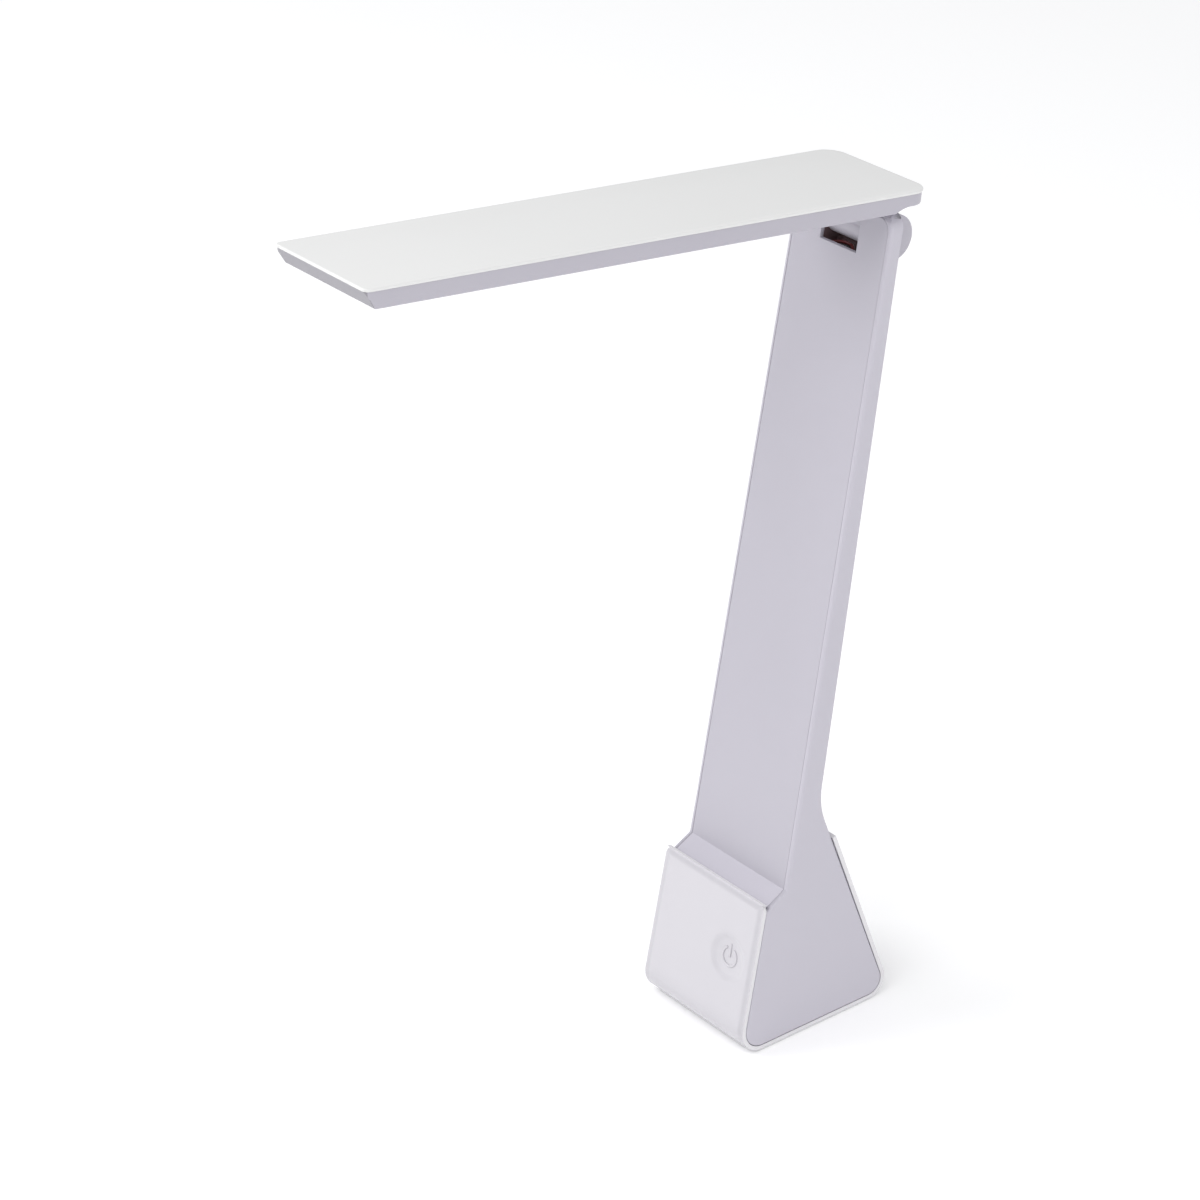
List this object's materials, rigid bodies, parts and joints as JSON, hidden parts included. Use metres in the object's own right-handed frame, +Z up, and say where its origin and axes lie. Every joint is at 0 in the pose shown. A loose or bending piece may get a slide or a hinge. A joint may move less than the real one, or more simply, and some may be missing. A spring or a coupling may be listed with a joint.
{
  "type": "folding desk lamp",
  "caption": "Folding LED desk lamp: wedge base with a white wrap cover, leaning flat arm and a thin light head on a friction hinge.",
  "frame": {"origin": "centre of the footprint, on the underside of the rubber pad under the base", "axes": "+Z up, -Y towards the head's tip (the front, with the touch key), +X across the lamp to the right as seen from the front with the head coming forward"},
  "size_m": [0.06, 0.2502, 0.3664],
  "materials": {
    "white_gloss": "gloss",
    "head_white": "satin",
    "lilac": "satin",
    "soft_rubber": "matte",
    "steel": "satin",
    "weight_steel": "matte",
    "cell_wrap": "satin",
    "chassis_white": "matte",
    "board_green": "satin",
    "part_black": "satin",
    "sensor_brass": "satin",
    "lead_white": "satin",
    "lead_red": "satin",
    "lead_black": "satin",
    "nylon": "satin",
    "board_white": "satin",
    "led_yellow": "satin",
    "clear_acrylic": "gloss",
    "sheet_white": "matte",
    "opal": "satin"
  },
  "bodies": {
    "stand": {"base_cover": "white_gloss", "non_slip_pad": "soft_rubber", "base_screws": "steel", "counterweight": "weight_steel", "battery_cell": "cell_wrap", "chassis": "chassis_white", "chassis_screws": "steel", "main_board": "board_green", "board_parts": "part_black", "charging_socket": "steel", "touch_sensor": "sensor_brass", "touch_lead": "lead_white", "stand_shell": "lilac", "arm_front_panel": "lilac", "arm_lead_red": "lead_red", "arm_lead_black": "lead_black", "wire_bush": "nylon", "friction_washer": "nylon"},
    "head": {"hinge_pin": "steel", "spring_washers": "steel", "hinge_nut": "steel", "hinge_knuckle": "lilac", "knuckle_screws": "steel", "head_tray": "lilac", "head_top_plate": "head_white", "led_strip_left": "board_white", "led_strip_right": "board_white", "leds": "led_yellow", "led_link_board": "board_white", "light_guide": "clear_acrylic", "reflector_sheet": "sheet_white", "diffuser": "opal", "head_lead_red": "lead_red", "head_lead_black": "lead_black"}
  },
  "joints": [
    {"name": "head_hinge", "type": "hinge", "parent": "stand", "child": "head", "pos_m": [0, 0.03609, 0.3221], "axis": [1, 0, 0], "range_deg": [-94, 86]}
  ]
}
